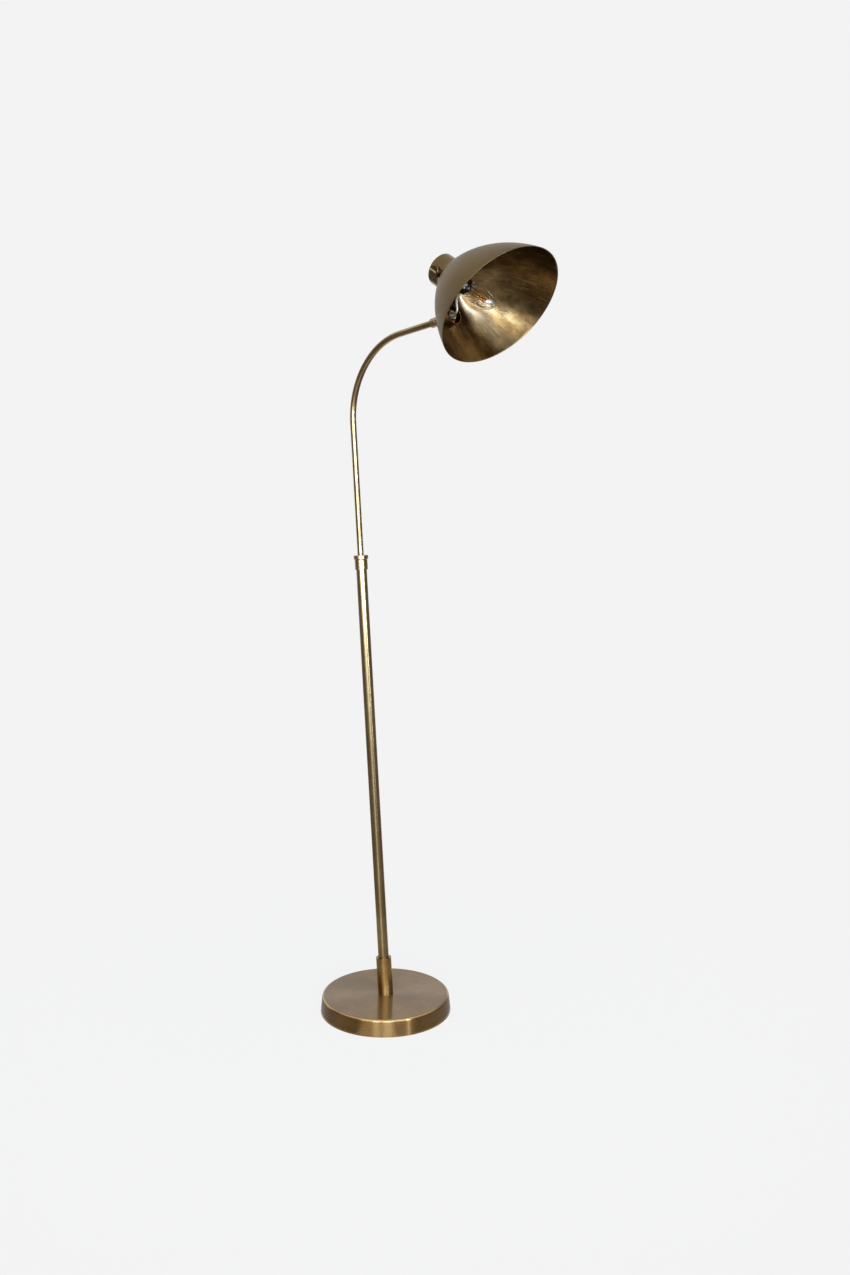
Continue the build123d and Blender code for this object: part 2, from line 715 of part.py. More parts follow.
# Cap nipple, its nut inside the cap and the domed nut on the cap's end
holder_back = cap_inside + nipple_nut_thickness
with BuildPart() as cap_nipple:
    turned(
        shade,
        -cap_length - nipple_in_cap_nut,
        holder_back + nipple_in_holder,
        nipple_radius,
        nipple_bore_radius,
    )
cap_nipple.part.label = "cap_nipple"
export_step(cap_nipple.part, "parts/cap_nipple.step")

with BuildPart() as nipple_nut:
    hexagon_nut(shade, cap_inside, holder_back, nipple_nut_flats, nipple_radius + seat_gap)
nipple_nut.part.label = "nipple_nut"
export_step(nipple_nut.part, "parts/nipple_nut.step")

with BuildPart() as cap_nut:
    turned(shade, -cap_length - cap_nut_thickness, -cap_length, cap_nut_radius)
    fillet(cap_nut.edges().filter_by(GeomType.CIRCLE).sort_by(shade_axis)[0], cap_nut_edge)
    nipple_hole = nipple_radius + seat_gap
    turned(shade, -cap_length - nipple_in_cap_nut, -cap_length, nipple_hole, mode=Mode.SUBTRACT)
cap_nut.part.label = "cap_nut"
export_step(cap_nut.part, "parts/cap_nut.step")

# Lamp holder: a stepped black moulding on the nipple, with a side hole for the lead
holder_step = holder_back + holder_rear_length
holder_mouth = holder_step + holder_front_length
bulb_seat = holder_mouth - holder_reveal
bulb_cap_low = bulb_seat - bulb_cap_length
bulb_foot = bulb_cap_low - bulb_tip_length
holder_floor = bulb_foot - contact_thickness
shell_bore = bulb_cap_radius + holder_thread_gap
holder_bore_radius = shell_bore + holder_shell_wall + seat_gap
holder_front_radius = holder_bore_radius + holder_wall
lead_station = holder_mouth - lead_setback
lead_cross = Plane(origin=neck + shade_forward * lead_station, x_dir=(0, 1, 0), z_dir=-shade_up)
lead_depth = holder_front_radius - lead_in_holder
with BuildPart() as lamp_holder:
    turned(shade, holder_back, holder_step, holder_rear_radius)
    turned(shade, holder_step, holder_mouth, holder_front_radius)
    fillet(lamp_holder.edges().filter_by(GeomType.CIRCLE).sort_by(shade_axis)[-1], holder_edge)
    turned(shade, holder_floor, holder_mouth, holder_bore_radius, mode=Mode.SUBTRACT)
    turned(shade, holder_back, holder_back + nipple_in_holder, nipple_radius + seat_gap, mode=Mode.SUBTRACT)
    turned(lead_cross, lead_depth, holder_front_radius, lead_radius + seat_gap, mode=Mode.SUBTRACT)
lamp_holder.part.label = "lamp_holder"
export_step(lamp_holder.part, "parts/lamp_holder.step")

# Holder shell and contact: the threaded sleeve and the centre contact in the holder
with BuildPart() as holder_shell:
    turned(
        shade,
        holder_floor + holder_shell_gap,
        holder_mouth - holder_shell_gap,
        holder_bore_radius - seat_gap,
        shell_bore,
    )
holder_shell.part.label = "holder_shell"
export_step(holder_shell.part, "parts/holder_shell.step")

with BuildPart() as holder_contact:
    turned(shade, holder_floor, holder_floor + contact_thickness, contact_radius)
holder_contact.part.label = "holder_contact"
export_step(holder_contact.part, "parts/holder_contact.step")

# Bulb cap: the screwed end with its centre tip on the contact
with BuildPart() as bulb_cap:
    turned(shade, bulb_foot, bulb_cap_low, bulb_tip_radius)
    turned(shade, bulb_cap_low, bulb_seat, bulb_cap_radius)
bulb_cap.part.label = "bulb_cap"
export_step(bulb_cap.part, "parts/bulb_cap.step")

# Bulb glass: a belly arc that runs into a rounded end, hollow and open at the neck
glass_neck_radius = bulb_cap_radius - glass_neck_step
glass_section = Plane(origin=neck + shade_forward * bulb_seat, x_dir=shade_up, z_dir=(0, 1, 0))
end_station = glass_length - glass_end_radius
belly_to_end = end_station - glass_belly_station
belly_curve = (glass_belly_radius**2 + belly_to_end**2 - glass_end_radius**2) / (
    2 * (glass_belly_radius - glass_end_radius)
)
belly_centre = glass_belly_radius - belly_curve
blend_angle = degrees(atan2(belly_to_end, -belly_centre))
shoulder_top = glass_neck_length + glass_shoulder_length


def glass_body(inset):
    """The bulb's turned form, drawn in from its outer face by the inset."""
    curve = belly_curve - inset
    low_angle = degrees(asin((glass_belly_station - shoulder_top) / curve))
    with BuildPart() as body:
        with BuildSketch(glass_section):
            with BuildLine():
                belly = CenterArc(
                    (belly_centre, glass_belly_station), curve, -low_angle, low_angle + blend_angle
                )
                end = CenterArc((0, end_station), glass_end_radius - inset, blend_angle, 90 - blend_angle)
                Polyline(
                    end @ 1,
                    (0, 0),
                    (glass_neck_radius - inset, 0),
                    (glass_neck_radius - inset, glass_neck_length),
                    belly @ 0,
                )
            make_face()
        revolve(axis=shade_axis)
    return body.part


with BuildPart() as bulb_glass:
    add(glass_body(0))
    add(glass_body(glass_wall), mode=Mode.SUBTRACT)
bulb_glass.part.label = "bulb_glass"
export_step(bulb_glass.part, "parts/bulb_glass.step")

# Bulb stem: the glass foot and rod inside the bulb
stem_top = bulb_seat + bulb_stem_length
with BuildPart() as bulb_stem:
    turned(shade, bulb_seat, stem_top, glass_neck_radius - glass_wall - bulb_stem_gap)
    turned(shade, stem_top, stem_top + bulb_rod_length, bulb_rod_radius)
bulb_stem.part.label = "bulb_stem"
export_step(bulb_stem.part, "parts/bulb_stem.step")

# Filaments: two straight rods that draw together towards the bulb's end
filament_x = cos(radians(filament_turn))
filament_y = sin(radians(filament_turn))
with BuildPart() as filaments:
    for near in (filament_spread, -filament_spread):
        far = filament_end_spread if near > 0 else -filament_end_spread
        low = shade.from_local_coords((near * filament_x, near * filament_y, bulb_seat + filament_start))
        high = shade.from_local_coords((far * filament_x, far * filament_y, bulb_seat + filament_end))
        turned(Plane(low, z_dir=high - low), 0, (high - low).length, filament_radius)
filaments.part.label = "filaments"
export_step(filaments.part, "parts/filaments.step")

# Lead tube: a bent tube for the wires, out of the stud, across the dome and into the lamp holder's side
lead_start = pivot + inward * (stud_end - lead_in_stud)
lead_corner = pivot + inward * (stud_end + lead_run)
lead_turn = lead_cross.from_local_coords((0, 0, holder_front_radius + lead_drop))
lead_end = lead_cross.from_local_coords((0, 0, lead_depth))
with BuildPart() as lead_tube:
    with BuildLine() as lead_line:
        FilletPolyline(lead_start, lead_corner, lead_turn, lead_end, radius=lead_bend)
    with BuildSketch(Plane(lead_start, x_dir=(0, 1, 0), z_dir=inward)):
        Circle(lead_radius)
        Circle(lead_radius - lead_wall, mode=Mode.SUBTRACT)
    sweep(path=lead_line.line)
lead_tube.part.label = "lead_tube"
export_step(lead_tube.part, "parts/lead_tube.step")

# Switch body: a small block inside the cap, with a threaded bush through the cap's side
switch_face = cap_bore - switch_wall_gap
switch_depth = switch_face - holder_rear_radius - switch_inner_gap
spindle_low = switch_face - switch_depth * spindle_share
with BuildPart() as switch_body:
    with BuildSketch(switch_axis.offset(switch_face - switch_depth)):
        Rectangle(switch_length, switch_width)
    extrude(amount=switch_depth)
    turned(switch_axis, switch_face, switch_face + bush_length, bush_radius)
    spindle_hole = spindle_radius + running_gap
    turned(switch_axis, spindle_low, switch_face + bush_length, spindle_hole, mode=Mode.SUBTRACT)
switch_body.part.label = "switch_body"
export_step(switch_body.part, "parts/switch_body.step")

# Switch nut: holds the bush to the cap
nut_top = neck_radius + switch_nut_thickness
with BuildPart() as switch_nut:
    turned(switch_axis, neck_radius, nut_top, switch_nut_radius, bush_radius + seat_gap)
switch_nut.part.label = "switch_nut"
export_step(switch_nut.part, "parts/switch_nut.step")

# Switch spindle
knob_base = neck_radius + motion_gap
knob_top = knob_base + knob_thickness
spindle_end = knob_top - knob_crown
with BuildPart() as switch_spindle:
    turned(switch_axis, spindle_low + motion_gap, spindle_end, spindle_radius)
switch_spindle.part.label = "switch_spindle"
export_step(switch_spindle.part, "parts/switch_spindle.step")

# Switch knob: a round knob with a raised bar, hollowed underneath to clear the nut
with BuildPart() as switch_knob:
    turned(switch_axis, knob_base, knob_top, knob_radius)
    fillet(switch_knob.edges().filter_by(GeomType.CIRCLE).sort_by(Axis.Y)[0], knob_edge)
    with BuildSketch(switch_axis.offset(knob_top)):
        Rectangle(2 * (knob_radius - knob_edge), knob_bar_width)
    extrude(amount=knob_bar_height)
    fillet(switch_knob.faces().sort_by(Axis.Y)[0].edges(), knob_bar_edge)
    recess_radius = switch_nut_radius + knob_recess_gap
    turned(switch_axis, knob_base, nut_top + motion_gap, recess_radius, mode=Mode.SUBTRACT)
    turned(switch_axis, knob_base, spindle_end, spindle_radius + seat_gap, mode=Mode.SUBTRACT)
switch_knob.part.label = "switch_knob"
export_step(switch_knob.part, "parts/switch_knob.step")
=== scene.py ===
import json
from math import cos, pi, radians, sin, sqrt, tan

import bpy
from mathutils import Matrix, Vector


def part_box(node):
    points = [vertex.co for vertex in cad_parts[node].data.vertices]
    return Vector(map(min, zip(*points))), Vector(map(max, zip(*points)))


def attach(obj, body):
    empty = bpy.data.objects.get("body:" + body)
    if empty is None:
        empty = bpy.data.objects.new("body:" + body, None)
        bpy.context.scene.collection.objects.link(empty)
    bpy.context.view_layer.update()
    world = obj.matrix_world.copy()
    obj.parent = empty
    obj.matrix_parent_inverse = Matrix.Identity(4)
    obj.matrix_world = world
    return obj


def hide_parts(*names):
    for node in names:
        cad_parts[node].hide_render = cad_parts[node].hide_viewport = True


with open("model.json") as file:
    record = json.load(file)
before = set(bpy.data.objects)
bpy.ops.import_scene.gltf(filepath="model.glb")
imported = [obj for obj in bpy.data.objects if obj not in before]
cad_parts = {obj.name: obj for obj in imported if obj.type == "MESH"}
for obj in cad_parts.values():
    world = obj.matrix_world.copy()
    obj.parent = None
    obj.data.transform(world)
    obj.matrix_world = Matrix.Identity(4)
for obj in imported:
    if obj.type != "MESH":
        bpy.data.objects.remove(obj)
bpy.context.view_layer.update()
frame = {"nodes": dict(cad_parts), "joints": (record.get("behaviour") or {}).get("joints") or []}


# Foot pad: a disc of thick brown felt glued under the base so that it slides without scratching.
# It is cut from sheet with a knife, so its edge is slightly hairy and not quite even.
class Wire:
    """A socket in a finish's tree: operators on it add Math nodes, and make() adds any other node."""

    def __init__(self, tree, socket=None):
        self.tree = tree
        self.socket = socket

    def make(self, kind, settings=None, sockets=None, out=0):
        node = self.tree.nodes.new(kind)
        for name, value in (settings or {}).items():
            setattr(node, name, value)
        for name, value in (sockets or {}).items():
            if isinstance(value, Wire):
                self.tree.links.new(value.socket, node.inputs[name])
            else:
                node.inputs[name].default_value = value
        return Wire(self.tree, node.outputs[out] if len(node.outputs) else None)

    def maths(self, operation, first, second):
        return self.make("ShaderNodeMath", {"operation": operation}, {0: first, 1: second})

    def __add__(self, other):
        return self.maths("ADD", self, other)

    def __sub__(self, other):
        return self.maths("SUBTRACT", self, other)

    def __rsub__(self, other):
        return self.maths("SUBTRACT", other, self)

    def __mul__(self, other):
        return self.maths("MULTIPLY", self, other)

    def __pow__(self, power):
        return self.maths("POWER", self, power)

    __radd__ = __add__
    __rmul__ = __mul__


def new_finish(name):
    """An empty finish and the wire of the piece's own coordinates, in metres."""
    finish = bpy.data.materials.new(name)
    finish.use_nodes = True
    finish.node_tree.nodes.clear()
    return finish, Wire(finish.node_tree).make("ShaderNodeTexCoord", out="Object")


def close_finish(place, sockets):
    shader = place.make("ShaderNodeBsdfPrincipled", sockets=sockets)
    place.make("ShaderNodeOutputMaterial", sockets={"Surface": shader})


def cloud(place, scale, detail=4.0, roughness=0.55):
    sockets = {"Vector": place, "Scale": scale, "Detail": detail, "Roughness": roughness}
    return place.make("ShaderNodeTexNoise", sockets=sockets)


def tint(share, first, second):
    sockets = {0: share, 6: first, 7: second}
    return share.make("ShaderNodeMix", {"data_type": "RGBA"}, sockets, out=2)


def dent(height, strength, distance, over=None):
    sockets = {"Height": height, "Strength": strength, "Distance": distance}
    if over:
        sockets["Normal"] = over
    return height.make("ShaderNodeBump", sockets=sockets)


def build_mesh(name, points, faces, smooth, marks):
    mesh = bpy.data.meshes.new(name)
    mesh.from_pydata(points, [], faces)
    mesh.polygons.foreach_set("use_smooth", smooth)
    mesh.polygons.foreach_set("material_index", marks)
    mesh.validate()
    mesh.update()
    return mesh


def swing(profile, angle):
    """A profile of widths and stations along an axis, swung to an angle round it."""
    return [(width * cos(angle), width * sin(angle), station) for width, station in profile]


def ring_mesh(name, sections, groups=None):
    """A mesh over closed sections that stand round an axis, with one finish for each profile step."""
    count = len(sections)
    length = len(sections[0])
    points = [point for section in sections for point in section]
    faces = []
    for turn in range(count):
        here = turn * length
        there = (turn + 1) % count * length
        for step in range(length):
            after = (step + 1) % length
            faces.append((here + step, there + step, there + after, here + after))
    marks = (groups or [0] * length) * count
    return build_mesh(name, points, faces, [True] * len(faces), marks)


def place_piece(mesh, matrix, finishes, body, replaced):
    piece = bpy.data.objects.new(mesh.name, mesh)
    bpy.context.collection.objects.link(piece)
    piece.matrix_world = matrix
    for finish in finishes:
        mesh.materials.append(finish)
    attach(piece, body)
    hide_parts(replaced)


felt_dark = (0.016, 0.012, 0.009, 1)
felt_pale = (0.055, 0.043, 0.032, 1)
felt, place = new_finish("brown_felt")
hairs = cloud(place, 1500.0, 6.0, 0.75)
tufts = cloud(place, 240.0, 3.0)
close_finish(place, {
    "Base Color": tint(hairs * 0.7 + tufts * 0.3, felt_dark, felt_pale),
    "Roughness": 0.84 + tufts * 0.14,
    "Normal": dent(hairs + tufts, 0.7, 0.0006),
    "Sheen Weight": 0.35,
})
pad_low, pad_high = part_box("foot_pad")
pad_radius = pad_high.x
pad_height = pad_high.z - pad_low.z
pad_hole = 0.004
pad_edge = 0.0007
knife_wander = 0.0003
pad_turns = 240
pad_sections = []
for turn in range(pad_turns):
    angle = 2 * pi * turn / pad_turns
    cut = pad_radius - knife_wander * (1 + sin(17 * angle) * sin(7 * angle + 1))
    pad_profile = [
        (pad_hole, 0),
        (cut - pad_edge, 0),
        (cut - pad_edge / 3, pad_edge / 3),
        (cut, pad_edge),
        (cut, pad_height - pad_edge),
        (cut - pad_edge / 2, pad_height),
        (pad_hole, pad_height),
    ]
    pad_sections.append(swing(pad_profile, angle))
pad_mesh = ring_mesh("felt_pad", pad_sections)
pad_place = Matrix.Translation((0, 0, pad_low.z))
place_piece(pad_mesh, pad_place, [felt], "base", "foot_pad")


# Base plate, its screws and the hidden fixings: steel with a thin blue-grey zinc plate.
# The plate closes the base from below and carries the felt; three countersunk screws hold it.
def fade(wire, low, high):
    sockets = {"Value": wire, "From Min": low, "From Max": high}
    return wire.make("ShaderNodeMapRange", {"interpolation_type": "SMOOTHSTEP"}, sockets)


def dress(finish, *names):
    """Gives a finish to CAD pieces that keep their shape."""
    for name in names:
        node = frame["nodes"][name]
        node.data.materials.clear()
        node.data.materials.append(finish)


zinc_dark = (0.33, 0.33, 0.335, 1)
zinc_pale = (0.56, 0.57, 0.58, 1)
zinc, place = new_finish("zinc_plated_steel")
spangle = cloud(place, 170.0, 3.0)
grain = cloud(place, 900.0, 2.0)
close_finish(place, {
    "Base Color": tint(fade(spangle, 0.3, 0.7), zinc_dark, zinc_pale),
    "Metallic": 1.0,
    "Roughness": 0.26 + spangle * 0.16 + grain * 0.08,
    "Normal": dent(grain, 0.08, 0.0002),
})
dress(zinc, "base_plate", "plate_screws", "stem_stud", "stem_washer", "stem_nut", "grub_screw")
dress(zinc, "guide_clip", "swivel_clip", "pivot_screw", "pivot_nut", "fixing_nut")
dress(zinc, "cap_nipple", "nipple_nut", "switch_nut")


# Base weight: a grey iron casting under the cover that keeps the lamp standing.
# It is left as it came from the sand, with a thin coat of dark paint.
iron_dark = (0.022, 0.021, 0.02, 1)
iron_pale = (0.075, 0.07, 0.066, 1)
iron, place = new_finish("cast_iron")
sand = cloud(place, 380.0, 5.0, 0.7)
lumps = cloud(place, 45.0, 3.0)
close_finish(place, {
    "Base Color": tint(sand * 0.6 + lumps * 0.4, iron_dark, iron_pale),
    "Metallic": 0.35,
    "Roughness": 0.5 + sand * 0.3,
    "Normal": dent(sand + lumps * 0.6, 0.5, 0.0008),
})
dress(iron, "base_weight")


# Base cover: a drum spun from brass sheet, aged to a brown satin and lacquered, over the weight.
# The spinning roller leaves fine rings. The rounded rim is painted paler: brass worn by cleaning,
# with a painted highlight along it.
def vector(place, operation, sockets, out=0):
    return place.make("ShaderNodeVectorMath", {"operation": operation}, sockets, out)


def coordinate(place, axis):
    return place.make("ShaderNodeSeparateXYZ", sockets={0: place}, out=axis)


def turned_lines(axis, centre):
    """Fine rings left by a tool round an axis."""

    def lines(place):
        offset = vector(place, "SUBTRACT", {0: place, 1: centre})
        along = vector(place, "DOT_PRODUCT", {0: offset, 1: axis}, "Value")
        across = vector(place, "CROSS_PRODUCT", {0: offset, 1: axis})
        radius = vector(place, "LENGTH", {0: across}, "Value")
        flat = place.make("ShaderNodeCombineXYZ", sockets={"X": along, "Y": radius})
        return cloud(flat, 1300.0, 3.0, 0.6)

    return lines


def patina(place):
    """Aged brass: the shares of its brown clouds, of its blotches and of its small dark spots."""
    clouds = fade(cloud(place, 13.0, 5.0, 0.6), 0.34, 0.68)
    blotches = fade(cloud(place, 55.0, 4.0, 0.65), 0.48, 0.72)
    spots = fade(cloud(place, 480.0, 2.0), 0.66, 0.78)
    return clouds, blotches, spots


up = (0, 0, 1)
line_depth = 0.0002
across_rings = 0.25
drum_low, drum_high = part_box("base_cover")
drum_top = drum_high.z
drum_side_run = 0.004
drum_edge = 0.005
rim_height = drum_top - drum_edge
side_slope = drum_side_run / (drum_top - drum_low.z)
side_reach = drum_high.y - side_slope * (rim_height - drum_low.z)
rim_reach = side_reach - drum_edge * sqrt(1 + side_slope**2)
side_brown = (0.19, 0.104, 0.034, 1)
side_gold = (0.26, 0.15, 0.054, 1)
# The top's tones are greyer than the side's: a painted reflection of the pale background.
top_painted_sheen_brown = (0.18, 0.11, 0.043, 1)
top_painted_sheen_gold = (0.24, 0.15, 0.062, 1)
blotch_brown = (0.17, 0.1, 0.038, 1)
spot_brown = (0.08, 0.05, 0.02, 1)
# Pale gold of the rim: brass worn by cleaning, with a painted highlight.
worn_and_highlight_gold = (0.56, 0.38, 0.16, 1)
drum_brass, place = new_finish("spun_drum_brass")
rings = turned_lines(up, (0, 0, 0))(place)
clouds, blotches, spots = patina(place)
across_x = coordinate(place, "X")
across_y = coordinate(place, "Y")
height = coordinate(place, "Z")
reach = (across_x * across_x + across_y * across_y) ** 0.5
on_top = fade(height, drum_top - drum_edge / 3, drum_top - drum_edge / 12)
on_rim = (reach - rim_reach) * (height - rim_height) * (2 / drum_edge**2)
side_tone = tint(clouds, side_brown, side_gold)
top_painted_sheen_tone = tint(clouds, top_painted_sheen_brown, top_painted_sheen_gold)
drum_tone = tint(blotches * 0.35, tint(on_top, side_tone, top_painted_sheen_tone), blotch_brown)
drum_tone = tint(spots * 0.4, drum_tone, spot_brown)
# The rim's band is a painted highlight on brass worn paler by cleaning.
drum_tone = tint(fade(on_rim, 0.5, 1.0), drum_tone, worn_and_highlight_gold)
close_finish(place, {
    "Base Color": drum_tone,
    "Metallic": 1.0,
    "Roughness": 0.23 + on_top * 0.11 - clouds * 0.04 + blotches * 0.05 + rings * 0.06,
    "Normal": dent(rings + blotches * 0.15, 0.03, line_depth),
    "Anisotropic": 0.92,
    "Anisotropic Rotation": across_rings,
    "Coat Weight": 0.3 + on_top * 0.25,
    "Coat Roughness": 0.06,
})
dress(drum_brass, "base_cover")


# Cord inlet: a black rubber bush pressed into a hole in the back of the drum, where a lead can enter.
# It is moulded, with fine pores and a faint grey bloom.
rubber_black = (0.008, 0.008, 0.008, 1)
rubber_grey = (0.03, 0.029, 0.028, 1)
rubber, place = new_finish("black_rubber")
bloom = cloud(place, 120.0, 4.0)
pores = cloud(place, 1400.0, 3.0)
close_finish(place, {
    "Base Color": tint(bloom, rubber_black, rubber_grey),
    "Roughness": 0.48 + bloom * 0.2,
    "Normal": dent(pores, 0.2, 0.0002),
})
dress(rubber, "cord_inlet")


# Base sleeve: a turned brass socket screwed down over the drum; the stem stands in it.
# A lacquered finish with turning rings, paler and more golden than the drum.
def brass_finish(
    name, bright, brown, gloss, tool_lines,
    stretch=0.0, depth=0.03, mottle=0.35, lacquer=0.15, worn_and_lit=None,
):
    """Aged brass: clouds of brown patina, small dark spots, tool lines, and a coat of clear lacquer.

    The lacquer is a share, or a function that gives it from the place. Where the brass is worn
    bright with a painted highlight on it, an optional function gives the share of that and its tone.
    """
    finish, place = new_finish(name)
    lines = tool_lines(place)
    clouds, blotches, spots = patina(place)
    dark = tuple(0.45 * part for part in brown[:3]) + (1,)
    tone = tint(clouds, brown, bright)
    tone = tint(blotches * mottle, tone, brown)
    tone = tint(spots * mottle, tone, dark)
    tone = tint(fade(lines, 0.5, 0.75) * 0.14, tone, brown)
    # Painted highlight on worn brass, where a caller gives one.
    if worn_and_lit:
        share, pale = worn_and_lit(place)
        tone = tint(share, tone, pale)
    close_finish(place, {
        "Base Color": tone,
        "Metallic": 1.0,
        "Roughness": gloss - clouds * 0.04 + blotches * (0.2 * mottle) + lines * 0.05,
        "Normal": dent(lines + blotches * (0.4 * mottle), depth, line_depth),
        "Anisotropic": stretch,
        "Anisotropic Rotation": across_rings,
        "Coat Weight": lacquer(place) if callable(lacquer) else lacquer,
        "Coat Roughness": 0.16,
    })
    return finish


joints = {joint["name"]: joint for joint in frame["joints"]}
stem_axis = tuple(joints["arm_height"]["axis"])
stem_foot = (0, 0, drum_top)
stem_turned = turned_lines(stem_axis, stem_foot)
golden = (0.52, 0.325, 0.12, 1)
golden_brown = (0.3, 0.165, 0.046, 1)
sleeve_brass = brass_finish(
    "turned_sleeve_brass", golden, golden_brown, 0.27, stem_turned, lacquer=0.2
)
dress(sleeve_brass, "base_sleeve")


# Stem: a thin-walled brass tube drawn through a die, with lines along it, aged to olive brown.
# A brass insert in its foot takes the stud that comes up through the drum.
def drawn_lines(axis):
    """Fine lines left along a drawn tube: a fine grain with most of its length pressed together."""
    pressed = 0.985

    def lines(place):
        along = vector(place, "DOT_PRODUCT", {0: place, 1: axis}, "Value")
        back = vector(place, "SCALE", {0: axis, "Scale": along * pressed})
        drawn = vector(place, "SUBTRACT", {0: place, 1: back})
        return cloud(drawn, 1100.0, 3.0, 0.6)

    return lines


def worn_lacquer(place):
    """The stem's lacquer, whole at the top and worn thin towards the foot."""
    return 0.25 + fade(coordinate(place, "Z"), 0.2, 0.7) * 0.75


olive = (0.42, 0.307, 0.148, 1)
olive_brown = (0.27, 0.183, 0.077, 1)
tube_drawn = drawn_lines(stem_axis)
stem_brass = brass_finish(
    "drawn_stem_brass", olive, olive_brown, 0.21, tube_drawn,
    depth=0.006, mottle=0.12, lacquer=worn_lacquer,
)
dress(stem_brass, "lower_tube")
machined_gold = (0.62, 0.44, 0.2, 1)
machined_brown = (0.42, 0.28, 0.11, 1)
inner_brass = brass_finish("machined_brass", machined_gold, machined_brown, 0.24, stem_turned)
dress(inner_brass, "tube_insert", "collet", "guide_nut")


# Collar and clamp ring: turned brass; the collar is pushed on the stem's top, and the ring turns on
# its spigot to close the collet on the thin tube. Handling keeps them coppery and bright.
copper = (0.52, 0.37, 0.215, 1)
copper_brown = (0.34, 0.22, 0.11, 1)
collar_brass = brass_finish(
    "turned_collar_brass", copper, copper_brown, 0.24, stem_turned, lacquer=0.7
)
dress(collar_brass, "collar", "clamp_ring")


# Guide sleeve and friction washers: moulded from off-white nylon, which slides without grease.
# The sleeve guides the arm's foot inside the stem, and the washers sit in the knuckle's fork.
nylon_cream = (0.62, 0.6, 0.54, 1)
nylon_white = (0.76, 0.74, 0.68, 1)
nylon, place = new_finish("moulded_nylon")
milk = cloud(place, 90.0, 3.0)
close_finish(place, {
    "Base Color": tint(milk, nylon_cream, nylon_white),
    "Roughness": 0.38 + milk * 0.14,
    "Normal": dent(milk, 0.1, 0.0003),
})
dress(nylon, "guide_sleeve", "friction_washers")


# Arm: a thin brass tube that slides in the stem and is bent forward at its top.
# Drawn and bent cold, polished after bending, then aged like the stem.
arm_brass = brass_finish(
    "bent_arm_brass", olive, olive_brown, 0.22, tube_drawn, depth=0.006, mottle=0.12, lacquer=0.4
)
dress(arm_brass, "arm_tube")


# Arm end and knuckle: a turned ferrule on the arm's end, a fork that swivels in it and a tongue
# that tilts in the fork. All turned and milled from brass bar, with a coppery tone.
arm_axis = tuple(joints["shade_swivel"]["axis"])
pivot = tuple(joints["shade_tilt"]["pos_m"])
arm_turned = turned_lines(arm_axis, pivot)
knuckle_brass = brass_finish("turned_knuckle_brass", copper, copper_brown, 0.26, arm_turned)
dress(knuckle_brass, "arm_ferrule", "knuckle_fork", "knuckle_tongue", "shade_saddle")


# Shade: a bell spun from brass sheet round a former, its oblique mouth trimmed and rolled smooth.
# Outside it is an even olive satin. Inside, the brass is brown and mottled with marks from spinning;
# its upper side is painted darker as painted shade and its lower side paler as painted reflection,
# and the lacquer is still whole deep down beside the neck.
shade_drop = radians(31.2)
mouth_tilt = radians(10.75)
bulge_radius = 0.254
bulge_offset = 0.1233
neck_radius = 0.0293
mouth_depth = 0.1251
bell_wall = 0.0012
rolled_edge = bell_wall * 0.45
rim_round = ((0.12, 0.12), (0.5, 0.0), (0.88, 0.12))
spigot_radius = 0.02755
spigot_length = 0.008
spigot_bore = spigot_radius - bell_wall
switch_setback = 0.0161
bell_turns = 288
bell_steps = 72
bell_axis = Vector((cos(shade_drop), 0, -sin(shade_drop)))
bell_up = Vector((sin(shade_drop), 0, cos(shade_drop)))
bell_side = bell_axis.cross(bell_up)
bell_turn = Matrix((bell_up, bell_side, bell_axis)).transposed().to_4x4()
neck = Vector(joints["switch_turn"]["pos_m"]) + bell_axis * switch_setback
bell_place = Matrix.Translation(neck) @ bell_turn
bulge_station = sqrt(bulge_radius**2 - (neck_radius + bulge_offset) ** 2)


def bell_width(station, inset):
    """The bell's radius at a distance from its neck along its axis."""
    return sqrt((bulge_radius - inset) ** 2 - (bulge_station - station) ** 2) - bulge_offset


def bell_start(width, inset):
    """Where the bell has a given radius near its neck."""
    return bulge_station - sqrt((bulge_radius - inset) ** 2 - (width + bulge_offset) ** 2)


def mouth_station(angle, inset):
    """Where the oblique mouth cuts the bell, at an angle round it from its upper side."""
    station = mouth_depth
    for _ in range(12):
        station = mouth_depth + tan(mouth_tilt) * bell_width(station, inset) * cos(angle)
    return station


start_out = bell_start(spigot_radius, 0)
start_in = bell_start(spigot_bore, bell_wall)
bell_sections = []
for turn in range(bell_turns):
    angle = 2 * pi * turn / bell_turns
    rim_out = mouth_station(angle, 0)
    rim_in = mouth_station(angle, bell_wall)
    bell_profile = [(spigot_radius, -spigot_length), (spigot_radius, start_out)]
    for step in range(1, bell_steps + 1):
        station = start_out + (rim_out - rolled_edge - start_out) * step / bell_steps
        bell_profile.append((bell_width(station, 0), station))
    for inset, setback in rim_round:
        station = rim_out + (rim_in - rim_out) * inset - bell_wall * setback
        bell_profile.append((bell_width(station, bell_wall * inset), station))
    for step in range(bell_steps, 0, -1):
        station = start_in + (rim_in - rolled_edge - start_in) * step / bell_steps
        bell_profile.append((bell_width(station, bell_wall), station))
    bell_profile += [(spigot_bore, start_in), (spigot_bore, -spigot_length)]
    bell_sections.append(swing(bell_profile, angle))
outside, inside, rim = 0, 1, 2
bell_groups = [outside] * (bell_steps + 1) + [rim] * 4 + [inside] * (bell_steps + 2)

